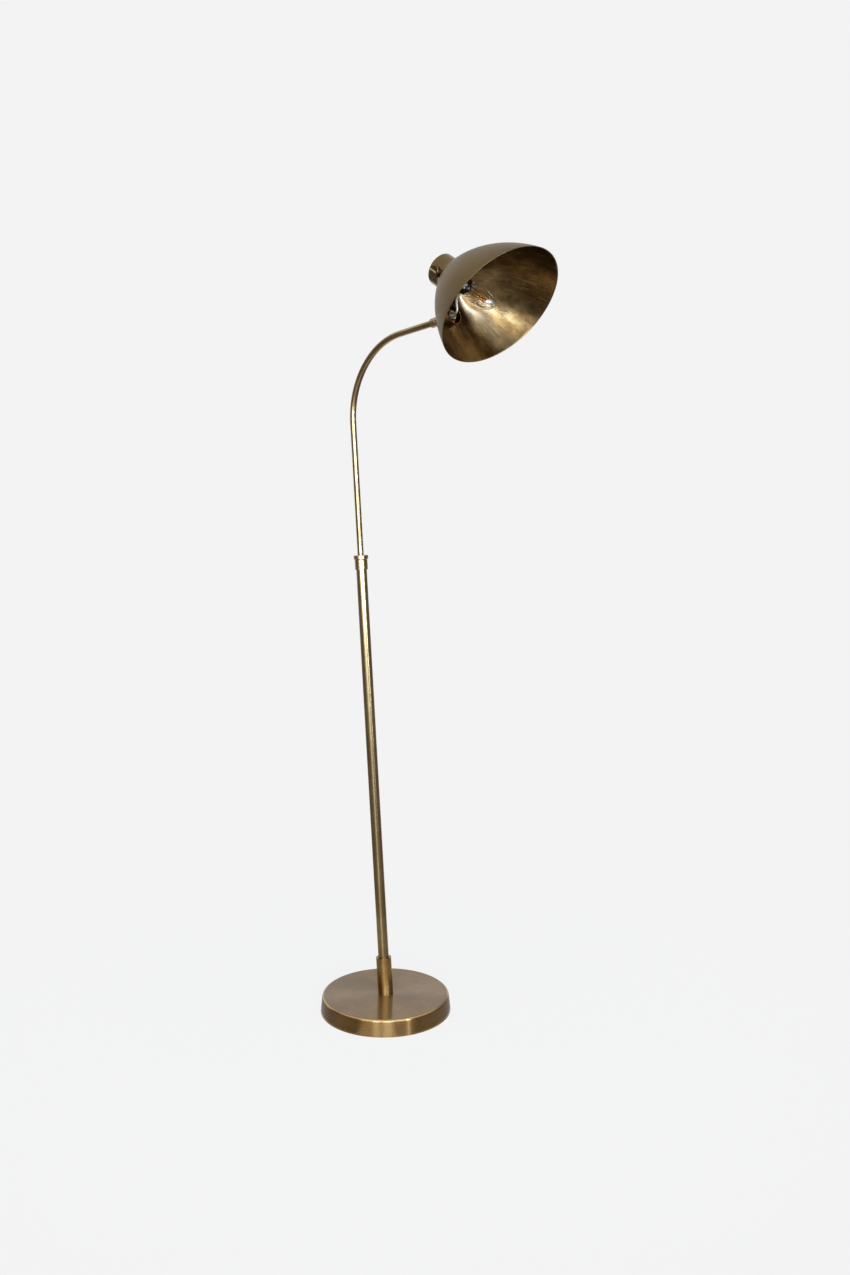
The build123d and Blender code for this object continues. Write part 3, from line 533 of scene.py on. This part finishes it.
# The mesh is leaned in its own box, and the object leaned back, so that the box stays close round it.
bell_lean = Matrix.Rotation(radians(-11), 4, "Y")
lean_axis = tuple(bell_lean @ Vector(up))
bell_turned = turned_lines(lean_axis, (0, 0, 0))
outside_olive = (0.148, 0.096, 0.033, 1)
outside_brown = (0.128, 0.082, 0.027, 1)
bell_outside = brass_finish(
    "bell_outside_brass", outside_olive, outside_brown, 0.42, bell_turned,
    stretch=0.3, depth=0.02, mottle=0.2, lacquer=0.03,
)
rim_pale = (0.3, 0.22, 0.12, 1)
rim_brown = (0.18, 0.125, 0.065, 1)
bell_rim = brass_finish("bell_rim_brass", rim_pale, rim_brown, 0.3, bell_turned)

# Upper tones are darker, as painted shade; lower tones are paler, as painted reflection.
upper_painted_shade_brown = (0.094, 0.052, 0.018, 1)
upper_painted_shade_gold = (0.195, 0.122, 0.05, 1)
lower_painted_light_brown = (0.135, 0.076, 0.023, 1)
lower_painted_light_gold = (0.265, 0.162, 0.058, 1)
stain_brown = (0.085, 0.047, 0.016, 1)
stroke_gold = (0.235, 0.15, 0.062, 1)
scuff_pale = (0.4, 0.3, 0.155, 1)
haze_grey = (0.4, 0.34, 0.24, 1)
scratch_run = (0.5, 0.5, 0.5)
stroke_run = (2.5, 2.5, 2.5)
bell_inside, place = new_finish("bell_inside_brass")
along = vector(place, "DOT_PRODUCT", {0: place, 1: lean_axis}, "Value")
depth = vector(place, "SCALE", {0: lean_axis, "Scale": along})
spoke = vector(place, "NORMALIZE", {0: vector(place, "SUBTRACT", {0: place, 1: depth})})
scratched = vector(place, "MULTIPLY_ADD", {0: depth, 1: scratch_run, 2: spoke})
stroked = vector(place, "MULTIPLY_ADD", {0: depth, 1: stroke_run, 2: spoke})
above = coordinate(place, "X")
# Painted light: this mask is 1 on the lower side, which is painted paler; the haze lies only there.
painted_light_below = fade(above, 0.03, -0.07)
deep = fade(along, 0.065, 0.025) * fade(above, -0.015, -0.04)
waves = cloud(stroked, 5.0, 1.5, 0.5)
strokes = cloud(stroked, 9.0, 4.0, 0.6)
scratches = cloud(scratched, 45.0, 2.0, 0.6)
scuffs = fade(scratches, 0.54, 0.7) * fade(cloud(place, 13.0, 2.0), 0.47, 0.6)
haze = fade(cloud(stroked, 3.6, 3.0, 0.6), 0.44, 0.62) * painted_light_below
swells = cloud(place, 24.0, 1.5, 0.5)
patches = cloud(place, 42.0, 6.0, 0.66)
mottled = fade(patches, 0.35, 0.65)
stains = fade(cloud(place, 16.0, 4.0, 0.6), 0.42, 0.66)
upper_painted_shade_tone = tint(mottled, upper_painted_shade_brown, upper_painted_shade_gold)
lower_painted_light_tone = tint(mottled, lower_painted_light_brown, lower_painted_light_gold)
inside_tone = tint(painted_light_below, upper_painted_shade_tone, lower_painted_light_tone)
inside_tone = tint(stains * 0.6, inside_tone, stain_brown)
inside_tone = tint(fade(strokes, 0.5, 0.72) * 0.5, inside_tone, stroke_gold)
inside_tone = tint(scuffs * 0.6, inside_tone, scuff_pale)
inside_tone = tint(haze * 0.1, inside_tone, haze_grey)
worn_gloss = 0.14 + strokes * 0.12 + patches * 0.1 + scuffs * 0.12 + haze * 0.18
uneven = dent(waves * 0.8 + swells + strokes * 0.1, 1.0, 0.0006)
close_finish(place, {
    "Base Color": inside_tone,
    "Metallic": 1.0,
    "Roughness": worn_gloss * (1 - deep * 0.65),
    "Normal": dent(bell_turned(place), 0.03, line_depth, uneven),
    "Anisotropic": 0.4,
    "Anisotropic Rotation": across_rings,
    "Coat Weight": 0.12 + deep * 0.7,
    "Coat Roughness": 0.1,
})
bell_finishes = [bell_outside, bell_inside, bell_rim]
bell_mesh = ring_mesh("shade_bell", bell_sections, bell_groups)
bell_mesh.transform(bell_lean)
leaned_back = bell_place @ bell_lean.inverted()
place_piece(bell_mesh, leaned_back, bell_finishes, "shade", "shade_dome")


# Fixing cup: a small turned cup round the nut of the knuckle's stud, inside the bell.
# It is brass like the bell's inside, browned and glossy, with turning rings.
cup_copper = (0.26, 0.155, 0.075, 1)
cup_brown = (0.15, 0.085, 0.038, 1)
cup_brass = brass_finish("fixing_cup_brass", cup_copper, cup_brown, 0.2, arm_turned)
dress(cup_brass, "fixing_cup")


# Lead tube: a short tube, bent twice and nickel plated, between the cup and the lamp holder.
# It takes the wires from the knuckle's hollow stud, and its plate is dull and slightly pitted.
nickel_bright = (0.7, 0.69, 0.66, 1)
nickel_dull = (0.36, 0.34, 0.31, 1)
nickel, place = new_finish("nickel_plate")
tarnish = cloud(place, 150.0, 4.0)
pits = fade(cloud(place, 700.0, 2.0), 0.6, 0.75)
close_finish(place, {
    "Base Color": tint(pits * 0.5 + tarnish * 0.3, nickel_bright, nickel_dull),
    "Metallic": 1.0,
    "Roughness": 0.26 + tarnish * 0.16,
    "Normal": dent(pits, 0.06, 0.0002),
})
dress(nickel, "lead_tube")


# Neck cap and its round nut: spun brass over the bell's neck, held by a threaded nipple.
# The finish is browner and glossier than the bell's outside.
cap_olive = (0.165, 0.108, 0.044, 1)
cap_brown = (0.128, 0.081, 0.031, 1)
cap_turned = turned_lines(tuple(bell_axis), tuple(neck))
cap_brass = brass_finish("spun_cap_brass", cap_olive, cap_brown, 0.26, cap_turned, lacquer=0.08)
dress(cap_brass, "neck_cap", "cap_nut")


# Lamp holder: a black moulded holder with a coarse thread on its skirt, pressed in one piece.
# It screws on the cap's nipple, and the bulb screws into the brass shell inside it.
def lathe_mesh(name, profile, turns):
    """A mesh turned from a closed outline of widths and stations along an axis."""
    return ring_mesh(name, [swing(profile, 2 * pi * turn / turns) for turn in range(turns)])


moulding_black = (0.005, 0.0036, 0.0028, 1)
moulding_brown = (0.014, 0.009, 0.006, 1)
black, place = new_finish("black_moulding")
streaks = cloud(place, 130.0, 3.0)
close_finish(place, {
    "Base Color": tint(streaks, moulding_black, moulding_brown),
    "Roughness": 0.42 + streaks * 0.2,
    "Normal": dent(streaks, 0.08, 0.0003),
    "Specular IOR Level": 0.16,
})
dress(black, "switch_body")
dress(inner_brass, "holder_shell", "holder_contact")
holder_back = -0.027
holder_step = -0.001
holder_mouth = 0.038
holder_floor = 0.0112
holder_hub = 0.0005
holder_bore = 0.00772
bore_chamfer = 0.0004
rear_radius = 0.0125
rear_chamfer = 0.0006
skirt_radius = 0.015
step_chamfer = 0.0005
plain_band = 0.004
mouth_round = 0.001
thread_start = 0.005
thread_pitch = 0.0027
thread_turns = 9
thread_depth = 0.0006
thread_flank = 0.0007
thread_floor = 0.0005
thread_root = skirt_radius - thread_depth
holder_profile = [
    (holder_hub, holder_back),
    (rear_radius - rear_chamfer, holder_back),
    (rear_radius, holder_back + rear_chamfer),
    (rear_radius, holder_step),
    (skirt_radius - step_chamfer, holder_step),
    (skirt_radius, holder_step + step_chamfer),
    (skirt_radius, holder_step + plain_band),
]
for groove in range(thread_turns):
    low = holder_step + thread_start + groove * thread_pitch
    high = low + 2 * thread_flank + thread_floor
    holder_profile += [(skirt_radius, low), (thread_root, low + thread_flank)]
    holder_profile += [(thread_root, high - thread_flank), (skirt_radius, high)]
for turn in range(7):
    angle = pi / 12 * turn
    width = skirt_radius - mouth_round + mouth_round * cos(angle)
    holder_profile.append((width, holder_mouth - mouth_round + mouth_round * sin(angle)))
holder_profile += [
    (holder_bore + bore_chamfer, holder_mouth),
    (holder_bore, holder_mouth - bore_chamfer),
    (holder_bore, holder_floor),
    (holder_hub, holder_floor),
]
holder_mesh = lathe_mesh("moulded_holder", holder_profile, turns=96)
holder_mesh.set_sharp_from_angle(angle=radians(40))
place_piece(holder_mesh, bell_place, [black], "shade", "lamp_holder")


# Bulb: a clear blown bulb with a brass screw cap, a glass stem, and two coated filament rods that
# thin wires hold between the stem and a bridge near the tip.
bulb_gold = (0.2, 0.13, 0.055, 1)
bulb_brown = (0.11, 0.068, 0.028, 1)
bulb_brass = brass_finish("bulb_cap_brass", bulb_gold, bulb_brown, 0.34, cap_turned)
dress(bulb_brass, "bulb_cap")
glass_tinged = (0.97, 0.975, 0.97, 1)
glass_clear = (1, 1, 1, 1)
glass, place = new_finish("clear_glass")
ripple = cloud(place, 60.0, 2.0)
close_finish(place, {
    "Base Color": tint(ripple, glass_tinged, glass_clear),
    "Roughness": ripple * 0.02,
    "IOR": 1.52,
    "Transmission Weight": 1.0,
    "Coat Weight": fade(coordinate(place, "Z"), 0.03, 0.062),
    "Coat Roughness": 0.0,
    "Coat IOR": 1.8,
})
bulb_seat = 0.0369
glass_wall = 0.0008
glass_neck = 0.0065
glass_belly = 0.0175
glass_low = 0.002
glass_middle = 0.035
glass_tip = 0.074
glass_pip = 0.00002
glass_steps = 90


def glass_width(station):
    """The blown bulb's radius: it swells from the neck to the belly and closes in a rounded tip."""
    if station < glass_middle:
        rise = max(station - glass_low, 0) / (glass_middle - glass_low)
        return glass_neck + (glass_belly - glass_neck) * sin(pi / 2 * rise) ** 0.8
    past = (station - glass_middle) / (glass_tip - glass_middle)
    return glass_belly * sqrt(max(1 - past**2.3, 0))


thinned = (glass_belly - glass_wall) / glass_belly
outer_wall = []
inner_wall = []
for step in range(glass_steps + 1):
    station = glass_tip * sin(pi / 2 * step / glass_steps)
    width = glass_width(station)
    outer_wall.append((max(width, glass_pip), station))
    inner_wall.append((max(width * thinned, glass_pip), min(station, glass_tip - glass_wall)))
bulb_place = bell_place @ Matrix.Translation((0, 0, bulb_seat))
bulb_mesh = lathe_mesh("blown_bulb", outer_wall + inner_wall[::-1], turns=128)
place_piece(bulb_mesh, bulb_place, [glass], "shade", "bulb_glass")
stem_outline = [(0.0001, 0), (0.0055, 0), (0.0048, 0.003), (0.0033, 0.006), (0.0019, 0.009)]
stem_outline += [(0.0013, 0.012), (0.0011, 0.0165), (0.0007, 0.0178), (0.0001, 0.018)]
stem_mesh = lathe_mesh("glass_stem", stem_outline, turns=48)
place_piece(stem_mesh, bulb_place, [glass], "shade", "bulb_stem")

filament_red = (0.95, 0.26, 0.012, 1)
filament_orange = (1, 0.4, 0.03, 1)
coat, place = new_finish("filament_coat")
beads = cloud(place, 900.0, 3.0)
close_finish(place, {
    "Base Color": tint(beads, filament_red, filament_orange),
    "Roughness": 0.5 + beads * 0.2,
    "Normal": dent(beads, 0.3, 0.0002),
})


def rod_mesh(name, rods, sides=16):
    """One mesh of straight rods; a rod is the number of its finish, its radius, start and end."""
    points = []
    faces = []
    marks = []
    for mark, radius, start, end in rods:
        base = len(points)
        run = (end - start).normalized()
        across = run.orthogonal().normalized()
        beside = run.cross(across)
        for centre in (start, end):
            for turn in range(sides):
                angle = 2 * pi * turn / sides
                points.append(centre + (across * cos(angle) + beside * sin(angle)) * radius)
        for turn in range(sides):
            after = (turn + 1) % sides
            faces.append((base + turn, base + after, base + sides + after, base + sides + turn))
        faces.append(tuple(base + turn for turn in reversed(range(sides))))
        faces.append(tuple(base + sides + turn for turn in range(sides)))
        marks += [mark] * (sides + 2)
    return build_mesh(name, points, faces, [len(face) == 4 for face in faces], marks)


filament_turn = radians(-66)
filament_radius = 0.0013
filament_low = 0.017
filament_high = 0.058
foot_spread = 0.007
head_spread = 0.005
ferrule_radius = 0.0008
ferrule_length = 0.0015
wire_radius = 0.0003
wire_overlap = 0.0012
wire_spread = 0.0012
wire_low = 0.012
bridge_rise = 0.0035
bridge = Vector((0, 0, filament_high + bridge_rise))
filament_side = Vector((cos(filament_turn), sin(filament_turn), 0))
coated, plated = 0, 1
rods = []
for hand in (1, -1):
    foot = filament_side * hand * foot_spread + Vector((0, 0, filament_low))
    head = filament_side * hand * head_spread + Vector((0, 0, filament_high))
    wire_foot = filament_side * hand * wire_spread + Vector((0, 0, wire_low))
    run = (head - foot).normalized()
    rods.append((coated, filament_radius, foot, head))
    rods.append((plated, ferrule_radius, foot - run * ferrule_length, foot))
    rods.append((plated, ferrule_radius, head, head + run * ferrule_length))
    rods.append((plated, wire_radius, wire_foot, foot - run * wire_overlap))
    rods.append((plated, wire_radius, head + run * wire_overlap, bridge))
filament_mesh = rod_mesh("filament_rods", rods)
place_piece(filament_mesh, bulb_place, [coat, nickel], "shade", "filaments")


# Switch: a turned brass knob with a raised bar, on the spindle of a turn switch inside the neck cap.
# The knob is browned like the cap, and its bar is painted bright gold: brass worn by fingers, with a
# painted highlight.
bar_low = 0.0345
bar_high = 0.0365
# Bright gold of the bar: brass worn by fingers, with a painted highlight.
bar_worn_and_highlight_gold = (0.8, 0.6, 0.3, 1)
knob_olive = (0.19, 0.13, 0.06, 1)
knob_brown = (0.13, 0.085, 0.036, 1)


# Mask of the bar's top, painted bright gold as worn brass with a painted highlight.
def worn_and_highlit_bar(place):
    return fade(coordinate(place, "Y"), -bar_low, -bar_high), bar_worn_and_highlight_gold


switch_joint = joints["switch_turn"]
knob_turned = turned_lines(tuple(switch_joint["axis"]), tuple(switch_joint["pos_m"]))
knob_brass = brass_finish(
    "turned_knob_brass", knob_olive, knob_brown, 0.24, knob_turned, lacquer=0.12, worn_and_lit=worn_and_highlit_bar
)
dress(knob_brass, "switch_knob", "switch_spindle")


# Camera: nearly two and a half metres from the lamp, just over a metre up and looking slightly down.
# Its place and focal length come from fitting a perspective view to the photograph.
photo_width = 850
focal_pixels = 1250
view_point = (1.7054, -1.6670, 1.0807)
view_angle = radians(43.743)
view_drop = radians(7.85)
view_roll = radians(-0.05)
camera_data = bpy.data.cameras.new("camera")
camera_data.sensor_width = 36
camera_data.sensor_fit = "HORIZONTAL"
camera_data.lens = focal_pixels / photo_width * camera_data.sensor_width
camera = bpy.data.objects.new("camera", camera_data)
bpy.context.collection.objects.link(camera)
level_view = Matrix.Rotation(view_angle, 4, "Z") @ Matrix.Rotation(pi / 2 - view_drop, 4, "X")
rolled_view = level_view @ Matrix.Rotation(view_roll, 4, "Z")
camera.matrix_world = Matrix.Translation(view_point) @ rolled_view
scene = bpy.context.scene
scene.camera = camera
scene.view_settings.view_transform = "Standard"


# Studio: a plain pale floor and background, one wide soft lamp above and behind the camera, and four
# windows beside it. Dark and grey cloths stand and lie round the lamp, where only polished metal
# shows them.
def seen_share(wire):
    """1 for rays from the camera, a mirror or through glass, and 0 for rays that light a surface."""
    camera_ray = wire.make("ShaderNodeLightPath", out="Is Camera Ray")
    glossy_ray = wire.make("ShaderNodeLightPath", out="Is Glossy Ray")
    glass_ray = wire.make("ShaderNodeLightPath", out="Is Transmission Ray")
    return 1 - (1 - camera_ray) * (1 - glossy_ray) * (1 - glass_ray)


background_white = (0.896, 0.896, 0.896, 1)
world = bpy.data.worlds.new("studio")
scene.world = world
world.use_nodes = True
world.node_tree.nodes.clear()
sky = Wire(world.node_tree)
shown = sky.make("ShaderNodeBackground", sockets={"Color": background_white, "Strength": 1.0})
glow = sky.make("ShaderNodeBackground", sockets={"Color": (1, 1, 1, 1), "Strength": 0.2})
both = sky.make("ShaderNodeMixShader", sockets={0: seen_share(sky), 1: glow, 2: shown})
sky.make("ShaderNodeOutputWorld", sockets={"Surface": both})

floor_half = 9.0
floor_grey = (0.8, 0.8, 0.8, 1)
floor_pale = (0.82, 0.82, 0.82, 1)
floor_near = (0.97, 0.97, 0.97, 1)
shadow_share = 0.12
floor_finish, place = new_finish("pale_floor")
floor_tone = tint(cloud(place, 3.0, 3.0), floor_grey, floor_pale)
near = 1 - fade(vector(place, "LENGTH", {0: place}, "Value"), 0.2, 1.2)
paint = place.make("ShaderNodeBsdfDiffuse", sockets={"Color": floor_tone})
bright = place.make("ShaderNodeEmission", sockets={"Color": tint(near, background_white, floor_near)})
show = seen_share(place) * (1 - shadow_share * near)
surface = place.make("ShaderNodeMixShader", sockets={0: show, 1: paint, 2: bright})
place.make("ShaderNodeOutputMaterial", sockets={"Surface": surface})


def stage_sheet(name, points, faces, finish):
    mesh = bpy.data.meshes.new(name)
    mesh.from_pydata(points, [], faces)
    mesh.materials.append(finish)
    sheet = bpy.data.objects.new(name, mesh)
    bpy.context.collection.objects.link(sheet)
    return sheet


floor_corners = [(x * floor_half, y * floor_half, 0) for x, y in ((-1, -1), (1, -1), (1, 1), (-1, 1))]
stage_sheet("floor", floor_corners, [(0, 1, 2, 3)], floor_finish)


def cloth_finish(name, shade, light):
    finish, place = new_finish(name)
    weave = tint(cloud(place, 30.0, 2.0), shade, light)
    dim = place.make("ShaderNodeEmission", sockets={"Color": weave})
    place.make("ShaderNodeOutputMaterial", sockets={"Surface": dim})
    return finish


dark_cloth = cloth_finish("dark_cloth", (0.18, 0.165, 0.15, 1), (0.24, 0.22, 0.2, 1))
grey_cloth = cloth_finish("grey_cloth", (0.38, 0.36, 0.34, 1), (0.46, 0.44, 0.42, 1))
towards = Vector((sin(view_angle), -cos(view_angle), 0))
rightward = Vector((cos(view_angle), sin(view_angle), 0))


def around(turn, distance, height):
    """A point round the lamp, at an angle from the camera and to the right as the camera sees it."""
    outward = towards * cos(radians(turn)) + rightward * sin(radians(turn))
    return outward * distance + Vector((0, 0, height))


def hang_cloth(name, first, last, near_edge, far_edge, finish):
    """A cloth round the lamp between two angles; an edge is its distance and its height."""
    points = []
    for turn in range(first, last + 1, 2):
        points += [tuple(around(turn, *near_edge)), tuple(around(turn, *far_edge))]
    faces = [(i, i + 1, i + 3, i + 2) for i in range(0, len(points) - 2, 2)]
    cloth = stage_sheet(name, points, faces, finish)
    cloth.visible_camera = False
    cloth.visible_diffuse = False
    cloth.visible_shadow = False
    cloth.visible_transmission = False


hung_foot, hung_top = (3.2, 0.0), (3.2, 2.6)
laid_near, laid_middle, laid_far = (0.132, 0.003), (0.6, 0.003), (8.0, 0.003)
hang_cloth("left_cloth", -112, -44, hung_foot, hung_top, dark_cloth)
hang_cloth("right_cloth", 52, 150, hung_foot, hung_top, dark_cloth)
hang_cloth("near_left_cloth", -150, -26, laid_near, laid_middle, grey_cloth)
hang_cloth("near_right_cloth", 12, 140, laid_near, laid_middle, grey_cloth)
hang_cloth("far_left_cloth", -150, -26, laid_middle, laid_far, dark_cloth)
hang_cloth("far_right_cloth", 12, 140, laid_middle, laid_far, dark_cloth)
hang_cloth("front_cloth", -26, -14, (0.9, 0.003), (7.4, 0.003), dark_cloth)


def soft_lamp(name, turn, distance, height, width, length, level, colour):
    """A flat lamp facing the object, whose face has the given brightness."""
    lamp = bpy.data.lights.new(name, "AREA")
    lamp.color = colour
    lamp.shape = "RECTANGLE"
    lamp.size = width
    lamp.size_y = length
    lamp.energy = level * pi * width * length
    stand = bpy.data.objects.new(name, lamp)
    bpy.context.collection.objects.link(stand)
    spot = around(turn, distance, height)
    facing = Vector((spot.x, spot.y, 0)).to_track_quat("Z", "Y")
    stand.matrix_world = Matrix.Translation(spot) @ facing.to_matrix().to_4x4()
    stand.visible_camera = False


window_distance = 7.8
window_blue = (0.54, 0.73, 1)
soft_lamp("wide_lamp", 0, 8.0, 3.1, 14.4, 5.2, 1.8, (0.96, 0.98, 1))
soft_lamp("left_window", -14, window_distance, 1.6, 1.4, 1.8, 19.0, window_blue)
soft_lamp("middle_window", 5, window_distance, 1.6, 2.0, 1.8, 19.0, window_blue)
soft_lamp("right_window", 28, window_distance, 3.65, 4.4, 0.95, 8.0, (0.36, 0.62, 1))
soft_lamp("narrow_window", 41, window_distance, 1.7, 0.35, 2.7, 45.0, (0.62, 0.78, 1))
